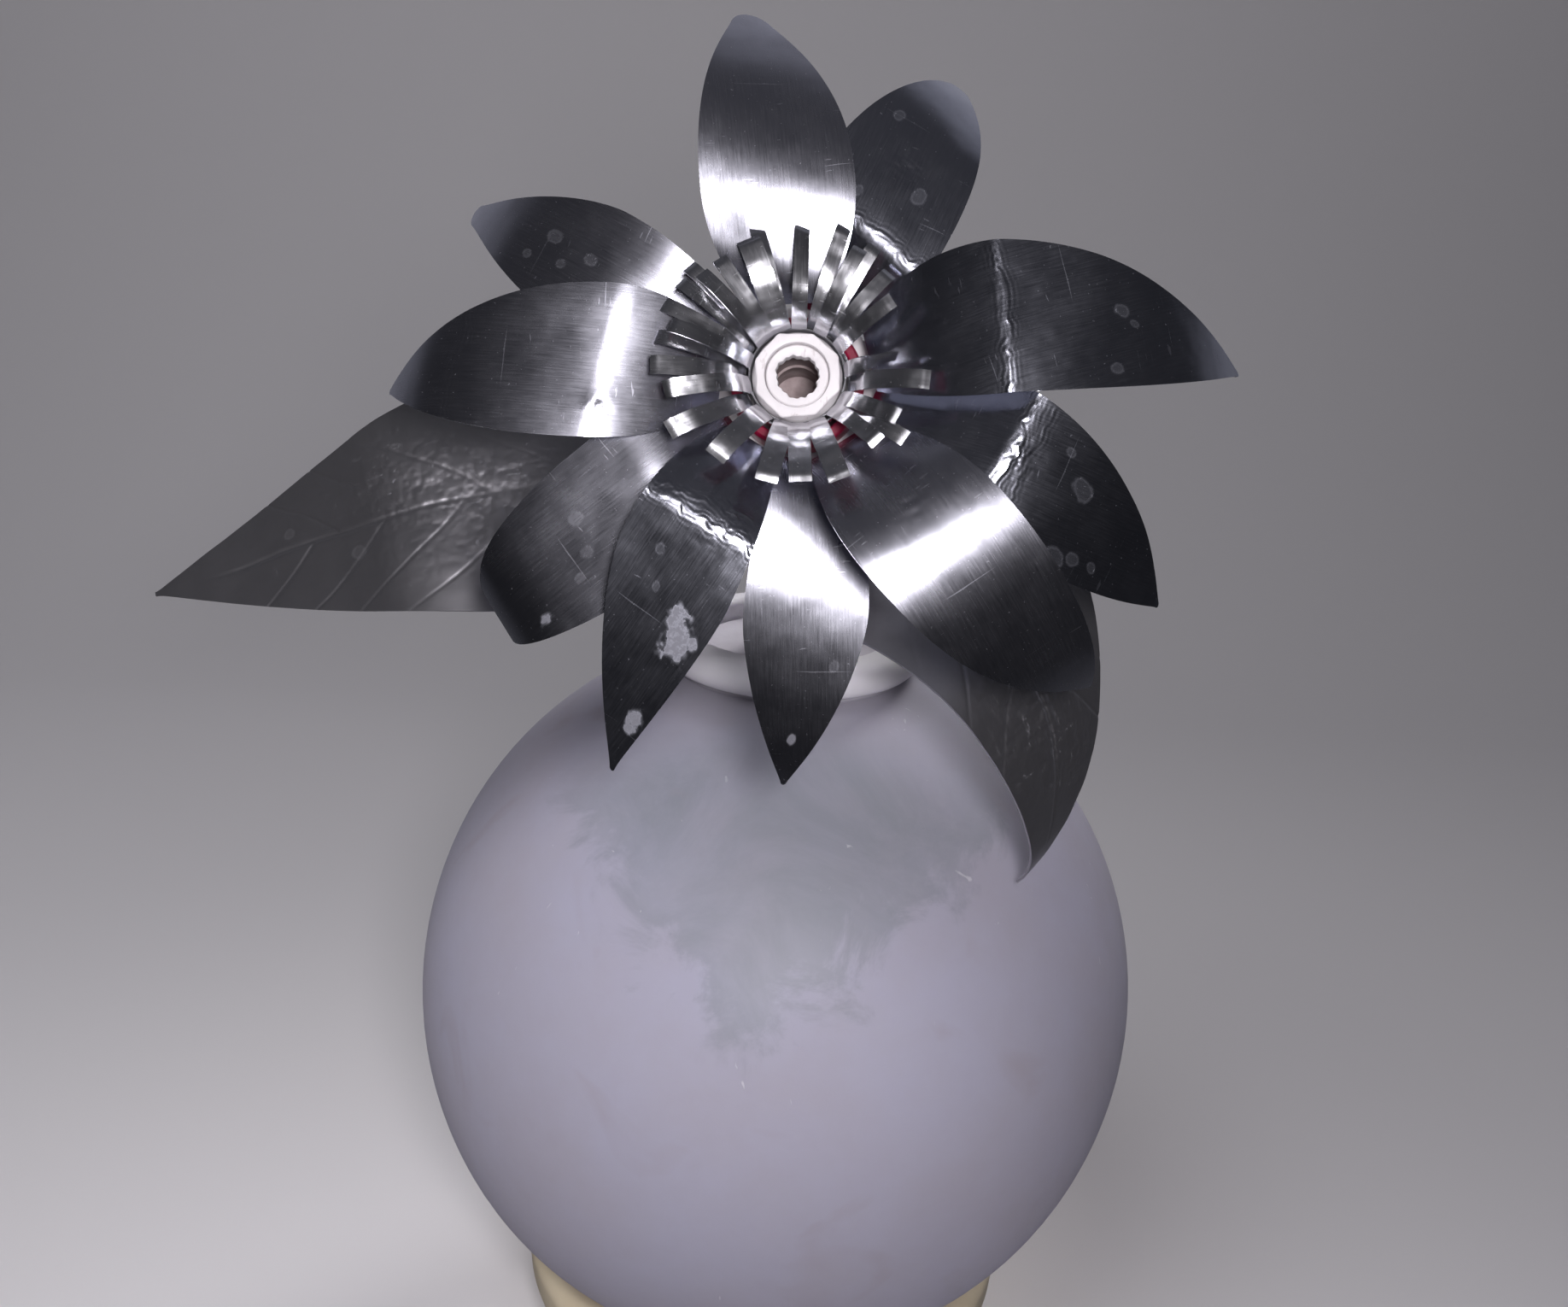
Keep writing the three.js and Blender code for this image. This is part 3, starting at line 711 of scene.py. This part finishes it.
def petal(number, spec):
    rows, columns = CREASED_GRID if "creases" in spec else PLAIN_GRID
    length, widest = spec["length"], spec["widest"]
    x, across = np.meshgrid(np.linspace(0, 1, rows), np.linspace(-1, 1, columns), indexing="ij")
    share = np.where(
        x < widest,
        1 - (1 - ROOT_WIDTH) * (np.clip(widest - x, 0, None) / widest) ** 2,
        1 - (np.clip(x - widest, 0, None) / (1 - widest)) ** spec["taper"],
    )
    tip = spec.get("tip", TIP)
    rounding = np.sqrt(1 - 0.98 * np.clip((x * length - length + tip) / tip, 0, 1) ** 2)
    half = np.hypot(spec["width"] / 2 * share, tip) * rounding
    u = x * length
    middle = spec["sweep"] * length * x * x
    v = middle + across * half
    seed = 100 * number
    turn = math.radians(spec["skew"])
    a = u * math.cos(turn) + v * math.sin(turn)
    b = v * math.cos(turn) - u * math.sin(turn)
    points, normals = bent_sheet(u, v, slope_from(spec["bends"]), spec["skew"], length + 30)
    satin_sheet = spec["finish"] == "satin"
    height = 0.22 * value_noise(u / 17, v / 12, seed) + 0.035 * value_noise(u / 5, v / 5, seed + 1)
    height += (0.004 if satin_sheet else 0.009) * value_noise(u / 1.7, v / 1.7, seed + 2)
    height += crinkles(u, v, a, b, spec, seed)
    height *= smoothstep(u / 6)
    grid = (u, v, points + normals * height[..., None], normals)
    local = (
        Matrix.Rotation(math.radians(spec["turn"]), 4, "Z")
        @ Matrix.Translation((ROOT_RADIUS, 0, spec["layer"]))
        @ Matrix.Rotation(math.radians(spec["roll"]), 4, "X")
    )
    name = f"petal_{number:02d}"
    arrays = sheet_arrays(HEAD @ local, grid, SHEET, drops(u, v - middle, spec, seed))
    return sheet_piece(name + "_sheet", name, [arrays], satin if satin_sheet else glossy, "head")


for index, petal_spec in enumerate(PETALS):
    petal(index + 1, petal_spec)

# ---- leaves ---------------------------------------------------------------------------

# root: where the tab meets the pipe. azimuth, climb: the way the leaf points there.
# faces: the side that its bright face turns to, before it is rolled about its length.
LEAVES = {
    "leaf_left": dict(
        LEAF, root=(-12, -33, 284), azimuth=185, climb=-15, faces=(0, -1, 0), roll=30, length=150, skew=0,
        bends=[(0, 0), (70, -10), (90, 20), (150, 10)],
        rings=[(94, 6, 1.8), (62, -10, 1.6), (112, -4, 1.4)], dents=[(50, 4, 14), (74, -4, 16)],
        scuffs=[(56, 0, 14), (76, -8, 12)],
        vein_pairs=5, vein_depth=0.15, seed=5000,
    ),
    "leaf_right": dict(
        LEAF, root=(7, -10, 248), azimuth=-55, climb=0, faces=(0, 0, 1), roll=25, length=155, skew=10,
        bends=[(0, -45), (60, 10), (90, 70), (155, 135)],
        dents=[(98, -6, 12), (112, 2, 12), (86, 4, 10)], scuffs=[(98, -5, 13), (110, 1, 10), (88, 5, 9)],
        vein_pairs=4, vein_depth=0.14, seed=6000,
    ),
}


def veins(u, v, spec, seed):
    """Grooves pressed into a leaf: a middle rib and slanting pairs that fade towards the edges."""
    length = spec["length"]
    wander = 0.8 * value_noise(u / 22, 0 * u, seed + 7)
    fade = smoothstep(u / 15) * smoothstep((0.92 * length - u) / 20)
    depth = np.exp(-(((v - wander) / 0.5) ** 2)) * fade
    for side in (-1, 1):
        for i in range(spec["vein_pairs"]):
            start = length * (0.16 + 0.13 * i) + 3 * side
            out = side * v
            middle = start + 1.1 * out + 0.02 * out * out
            middle = middle + 0.9 * value_noise(out / 6, 0 * u + i, seed + 9 + side)
            groove = np.exp(-(((u - middle) / 0.55) ** 2)) * (out > 0)
            depth = np.maximum(depth, 0.8 * groove * smoothstep((spec["width"] / 2 - out) / 12))
    nearer_tip = smoothstep((u - 0.35 * length) / (0.25 * length))
    return -spec["vein_depth"] * depth * (0.4 + 1.2 * nearer_tip)


def leaf(name, spec):
    rows, columns = LEAF_GRID
    length = spec["length"]
    x, across = np.meshgrid(np.linspace(0, 1, rows), np.linspace(-1, 1, columns), indexing="ij")
    share = np.where(
        x < spec["widest"],
        LEAF_ROOT_WIDTH + (1 - LEAF_ROOT_WIDTH) * x / spec["widest"],
        1 - (np.clip(x - spec["widest"], 0, None) / (1 - spec["widest"])) ** spec["taper"],
    )
    half = np.hypot(spec["width"] / 2 * share, TIP)
    u = x * length
    v = across * half
    points, normals = bent_sheet(u, v, slope_from(spec["bends"]), spec["skew"], length + 30)
    seed = spec["seed"]
    height = 0.35 * value_noise(u / 20, v / 14, seed) + 0.06 * value_noise(u / 5, v / 5, seed + 1)
    height += veins(u, v, spec, seed) + 1.4 * crinkles(u, v, u, v, spec, seed)
    height *= smoothstep(u / 12)
    grid = (u, v, points + normals * height[..., None], normals)
    azimuth, climb = math.radians(spec["azimuth"]), math.radians(spec["climb"])
    level = Vector((math.cos(azimuth), math.sin(azimuth), 0))
    along = math.cos(climb) * level + Vector((0, 0, math.sin(climb)))
    side = Vector(spec["faces"]).cross(along).normalized()
    up = along.cross(side)
    basis = Matrix((along, side, up)).transposed().to_4x4()
    matrix = Matrix.Translation(spec["root"]) @ basis @ Matrix.Rotation(math.radians(spec["roll"]), 4, "X")
    arrays = sheet_arrays(matrix, grid, SHEET, drops(u, v, spec, seed))
    return sheet_piece(name + "_sheet", name, [arrays], dull, "stem")


for leaf_name, leaf_spec in LEAVES.items():
    leaf(leaf_name, leaf_spec)

# ---- fringe ---------------------------------------------------------------------------

# (place round the flower, width, length, slope at the root, slope at the tip, twist)
FRONT_FINGERS = [
    (9, 2.7, 12, -70, -20, 70), (37, 2.7, 15, -66, -18, 0),
    (65, 2.7, 18.5, -70, 12, 0), (91, 2.8, 19.5, -70, 14, 22),
    (114, 4.2, 19, -70, 14, 0), (129, 2.7, 18, -70, 4, 6),
    (139, 2.7, 18.5, -70, 4, 12), (166, 2.7, 18.5, -70, 0, 10),
    (195, 3.2, 19.5, -70, -2, -10), (232, 4, 17, -70, -8, -8),
    (259, 4, 17.5, -70, -22, 0), (275, 4, 17.5, -70, -20, 0),
    (293, 4, 18, -70, -18, 6), (318, 2.9, 16, -70, -22, 8),
    (334, 2.9, 16, -70, -22, 8),
]
BACK_FINGERS = [
    (-4, 3.4, 18, -66, -14, 0), (50, 2.7, 17, -66, 14, 0),
    (61, 2.7, 19, -66, 14, 12), (75, 2.7, 20, -66, 14, 16),
    (109, 2.7, 20, -66, 14, 14), (140, 2.7, 20, -66, 4, 6),
    (147, 2.7, 19.5, -66, 4, 12), (158, 2.8, 20.5, -66, 2, 6),
    (171, 2.8, 19, -66, 0, 10), (184, 3.4, 20.5, -66, -6, 0),
    (211, 3.4, 20, -66, -8, -8), (327, 2.9, 19, -66, -20, 8),
]


def finger_arrays(finger, band_radius, front, seed):
    """One finger: bent in short facets, twisted, and with a lip folded up at its tip."""
    turn, width, length, root, tip, twist = finger
    rows, columns = FINGER_GRID
    x, across = np.meshgrid(np.linspace(0, 1, rows), np.linspace(-1, 1, columns), indexing="ij")
    u = x * length
    v = across * width / 2

    def slope(a):
        smooth = root + (tip - root) * np.clip(a / length, 0, 1) ** 0.8
        facet = 9 * value_noise(np.round(a / 3.2) * 1.7, 0 * a, seed + 2)
        lip = 24 * smoothstep((a - length + 1.4) / 0.3)
        return smooth + facet * smoothstep(a / 3) + lip

    points, normals = bent_sheet(u, v, slope, 0, length + 30)
    height = 0.1 * value_noise(u / 4 + seed, v / 4, seed)
    height = height + 0.035 * value_noise(u / 1.1, v / 1.6, seed + 1)
    points = points + normals * (height * smoothstep(u / 4))[..., None]
    angle = np.radians(twist) * smoothstep(x * 1.3)
    lean = across * width / 2 * np.sin(angle)
    points = points + normals * lean[..., None]
    points[..., 1] *= np.cos(angle)
    normals = normals * np.cos(angle)[..., None]
    normals[..., 1] -= np.sin(angle)
    matrix = (
        HEAD
        @ Matrix.Rotation(math.radians(turn), 4, "Z")
        @ Matrix.Translation((band_radius + FOIL / 3, 0, front - FOIL / 2 - 0.05))
    )
    return sheet_arrays(matrix, (u, v + 7 * (seed % 9), points, normals), FOIL)


def band_arrays(radius, front):
    """The wound strip that the fingers are cut from."""
    rows, columns = BAND_GRID
    x, around = np.meshgrid(np.linspace(0, 1, rows), np.linspace(0, 1, columns), indexing="ij")
    angle = 2 * math.pi * 0.995 * around
    r = radius + FOIL / 2 + 0.03 * around
    points = np.stack([r * np.cos(angle), r * np.sin(angle), -9 + (front + 9) * x], -1)
    normals = np.stack([np.cos(angle), np.sin(angle), 0 * angle], -1)
    order = (x * (front + 9), around * 50, points, normals)
    return sheet_arrays(HEAD, tuple(part[::-1] for part in order), FOIL)


def fringe(name, fingers, band_radius, front):
    sheets = [band_arrays(band_radius, front)]
    for i, finger in enumerate(fingers):
        sheets.append(finger_arrays(finger, band_radius, front, 7000 + 10 * i + int(band_radius * 100)))
    return sheet_piece(name + "_foil", name, sheets, foil, "head")


fringe("fringe_front", FRONT_FINGERS, PIPE_RADIUS + GAP, -0.9)
fringe("fringe_back", BACK_FINGERS, PIPE_RADIUS + FOIL + 3 * GAP, -2.2)

# ---- stand, globe and plug ---------------------------------------------------------------

IN_FRAME = Matrix.Identity(4)


def ring_stand():
    profile = [
        (0, 0), (61, 0), *arc(61, 2, 2, -90, 0, 4)[1:], (66, 12), (69.5, 20), (71.5, 27),
        *arc(67, 35, 5, -8, 90, 10), (60, 40.0), *arc(59.5, 38.5, 1.5, 90, 180, 4), (57, 34), (54, 9),
        *arc(51, 9, 3, 0, -90, 4), (0, 6),
    ]
    piece = lathe("ring_stand_body", "ring_stand", profile, IN_FRAME, cream_enamel(), "stand", 128)


def glass_globe():
    neck = math.degrees(math.acos(NECK_RADIUS / GLOBE_RADIUS))
    inside = GLOBE_RADIUS - GLOBE_WALL
    mouth = math.degrees(math.acos(MOUTH_RADIUS / inside))
    profile = [
        (0, -GLOBE_RADIUS), *arc(0, 0, GLOBE_RADIUS, -90, neck - 2, 60)[1:],
        (NECK_RADIUS + 0.6, 96.2), (NECK_RADIUS + 0.5, 97.6),
        *arc(LIP_RADIUS - 4.5, LIP_HEIGHT - 4.5, 4.5, -50, 90, 14),
        *arc(MOUTH_RADIUS + 1.5, LIP_HEIGHT - 1.5, 1.5, 90, 180, 4), *arc(0, 0, inside, mouth, -90, 60),
    ]
    place = Matrix.Translation((0, 0, GLOBE_CENTRE))

    def unevenness(row, angles):
        return 0.12 * np.sin(3 * angles + 0.05 * row) + 0.08 * np.sin(5 * angles + 1), 0

    glass = frosted_glass()
    piece = lathe("glass_globe_shell", "glass_globe", profile, place, glass, "globe", 160, unevenness)


def neck_plug():
    outer = MOUTH_RADIUS - 0.5
    bore = PIPE_RADIUS + GAP
    bottom = PLUG_TOP - PLUG_THICKNESS
    profile = [
        (bore, bottom), (outer - 1, bottom), (outer, bottom + 1), (outer, PLUG_TOP - 1.2),
        *arc(outer - 1.2, PLUG_TOP - 1.2, 1.2, 0, 90, 5), (18, PLUG_TOP - 0.25), (12, PLUG_TOP),
        (bore + 0.5, PLUG_TOP), (bore, PLUG_TOP - 0.5),
    ]

    def torn(row, angles):
        wave = 0.12 * np.sin(4 * angles + row) + 0.08 * np.sin(11 * angles)
        return -np.abs(wave) if 1 <= row <= 9 else np.abs(wave), 0

    piece = lathe("neck_plug_disc", "neck_plug", profile, IN_FRAME, grey_board(), "plug", 120, torn)


# ---- pipe and the middle of the flower -----------------------------------------------------


def pipe_ring(station, radius, angles):
    """A circle round the pipe's middle line, at a length along it from the bottom."""
    straight = PIPE_CORNER - PIPE_TANGENT - PIPE_BOTTOM
    bend = PIPE_BEND_RADIUS * PIPE_TURN
    theta = min(max(station - straight, 0) / bend, 1) * PIPE_TURN
    run = max(station - straight - bend, 0)
    reach = PIPE_BEND_RADIUS * (1 - math.cos(theta)) + run * math.sin(theta)
    height = PIPE_BOTTOM + min(station, straight)
    height = height + PIPE_BEND_RADIUS * math.sin(theta) + run * math.cos(theta)
    side = np.array([math.cos(math.radians(FACE_LEFT)), -math.sin(math.radians(FACE_LEFT)), 0])
    forward = np.array([side[1], -side[0], 0])
    centre = reach * forward + [0, 0, height]
    across = forward * math.cos(theta) - np.array([0, 0, math.sin(theta)])
    circle = np.cos(angles)[:, None] * side - np.sin(angles)[:, None] * across
    return centre + circle * np.reshape(radius, (-1, 1))


def pipe_length():
    """Length of the pipe's middle line, from its bottom to its open end."""
    return PIPE_CORNER - PIPE_BOTTOM + PIPE_REACH - 2 * PIPE_TANGENT + PIPE_BEND_RADIUS * PIPE_TURN


def stem_pipe():
    end = pipe_length()
    bore = PIPE_RADIUS - PIPE_WALL
    angles = np.linspace(0, 2 * math.pi, 96, endpoint=False)
    eighth = math.pi / 4
    octagon = math.cos(eighth / 2) / np.cos(np.mod(angles + 0.3, eighth) - eighth / 2)
    cuts = 1.15 - PIPE_RADIUS * (1 - octagon) + 0.12 * np.sin(3 * angles + 1) + 0.04 * np.sin(13 * angles)
    rows = [(s, PIPE_RADIUS) for s in np.linspace(0.8, end - 2.2, 140)]
    rows = [(0, bore), (0, PIPE_RADIUS - 0.8), *rows]
    rows += [
        (end - 1.8, PIPE_RADIUS - 0.05), (end - 1, PIPE_RADIUS - 0.95 + 0.8 * cuts),
        (end - 0.15, PIPE_RADIUS - 1.25 + cuts), (end, PIPE_RADIUS - 1.45 + cuts), (end, bore + 0.5),
        (end - 0.12, bore + 0.15), (end - 0.5, bore), (end - 30, bore), (end - 100, bore),
    ]
    rows += [(s, bore) for s in np.linspace(end - 100, 20, 60)[1:]]
    vertices = np.concatenate([pipe_ring(s, r + 0 * angles, angles) for s, r in rows])
    index = np.arange(len(vertices)).reshape(-1, len(angles))
    piece = link_mesh("stem_pipe_tube", vertices, ring_faces(list(index), True), white_pipe, "stem", 35)
    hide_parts("stem_pipe")


def end_bung():
    outer = PIPE_RADIUS - PIPE_WALL - 0.12
    profile = [
        (outer, -3.8), (outer, -0.95), (outer - 0.25, -0.7),
        (4.5, -0.8), (3.9, -1.1), (3.7, -2.2), (4.0, -3.8),
    ]

    def ragged(row, angles):
        if row < 3:
            return 0, 0
        tear = 0.16 * np.sin(3 * angles) + 0.12 * np.sin(7 * angles + 1) + 0.1 * np.sin(17 * angles + 2)
        notch = 0.5 * np.exp(-(((angles - 5.75) / 0.22) ** 2))
        notch = notch + 0.3 * np.exp(-(((angles - 5.1) / 0.16) ** 2))
        return (tear + notch) * (0.5 if row == 3 else 1), 0

    piece = lathe("end_bung_disc", "end_bung", profile, HEAD, white_pipe, "stem", 128, ragged)


def pipe_lining():
    outer = PIPE_RADIUS - PIPE_WALL - 0.3
    profile = [
        (0, -22), (outer, -22), (outer, -4.2), (outer - 0.7, -4.2), (outer - 0.7, -12),
        (outer - 1.1, -12.3), (outer - 1.1, -12.9), (outer - 0.7, -13.2), (outer - 0.7, -21),
        (outer - 1.2, -21.3), (0, -21.3),
    ]
    piece = lathe("pipe_lining_cup", "pipe_lining", profile, HEAD, brown_lining(), "stem", 64)


def red_collar():
    bore = PIPE_RADIUS + 2
    outer = ROOT_RADIUS - 1.6
    profile = [
        (bore, -12), (outer - 0.5, -12), (outer, -11.5), *arc(outer - 1.2, -6.4, 1.2, 0, 60, 5),
        (bore + 0.8, -5.4), *arc(bore + 0.5, -5.9, 0.5, 90, 180, 4),
    ]
    piece = lathe("red_collar_ring", "red_collar", profile, HEAD, dark_red_plastic(), "head", 96)


def back_washer():
    bore = PIPE_RADIUS + GAP
    outer = ROOT_RADIUS + 1.4
    profile = [
        (bore, -14.5), (outer, -14.5), *arc(outer, -13.9, 0.6, -90, 0, 4)[1:],
        (ROOT_RADIUS + 2, -12.9), *arc(outer, -12.9, 0.6, 0, 90, 4)[1:], (bore, -12.3),
    ]
    piece = lathe("back_washer_ring", "back_washer", profile, HEAD, white_pipe, "head", 96)


white_pipe = white_plastic()
ring_stand()
glass_globe()
neck_plug()
stem_pipe()
end_bung()
pipe_lining()
red_collar()
back_washer()

tie_metal = tie_strip()
for node_name in ("leaf_left_tie", "leaf_right_tie"):
    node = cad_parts[node_name]
    node.data.materials.clear()
    node.data.materials.append(tie_metal)

# ---- floor ---------------------------------------------------------------------------


FLOOR_FRONT = -3.0
FLOOR_REAR = 0.5
FLOOR_SWEEP = 0.6
FLOOR_HALF_WIDTH = 4.0
BACKDROP_HEIGHT = 4.0


def add_floor():
    """A pale floor that sweeps up into a backdrop, in metres."""
    profile = [(FLOOR_FRONT, 0.0), (FLOOR_REAR, 0.0)]
    for i in range(1, 17):
        angle = math.radians(90 * i / 16)
        out, rise = FLOOR_SWEEP * math.sin(angle), FLOOR_SWEEP - FLOOR_SWEEP * math.cos(angle)
        profile.append((FLOOR_REAR + out, rise))
    profile.append((FLOOR_REAR + FLOOR_SWEEP, BACKDROP_HEIGHT))
    vertices = [(side * FLOOR_HALF_WIDTH, y, z) for y, z in profile for side in (-1, 1)]
    faces = [(2 * i, 2 * i + 1, 2 * i + 3, 2 * i + 2) for i in range(len(profile) - 1)]
    mesh = bpy.data.meshes.new("floor")
    mesh.from_pydata(vertices, [], faces)
    mesh.shade_smooth()
    s = Shader("floor_paper")
    s.set(Base_Color=(0.7, 0.68, 0.7, 1), Roughness=0.9)
    mesh.materials.append(s.material)
    floor = bpy.data.objects.new("floor", mesh)
    floor.visible_glossy = False
    bpy.context.scene.collection.objects.link(floor)


add_floor()
bpy.context.scene.view_settings.view_transform = "Standard"
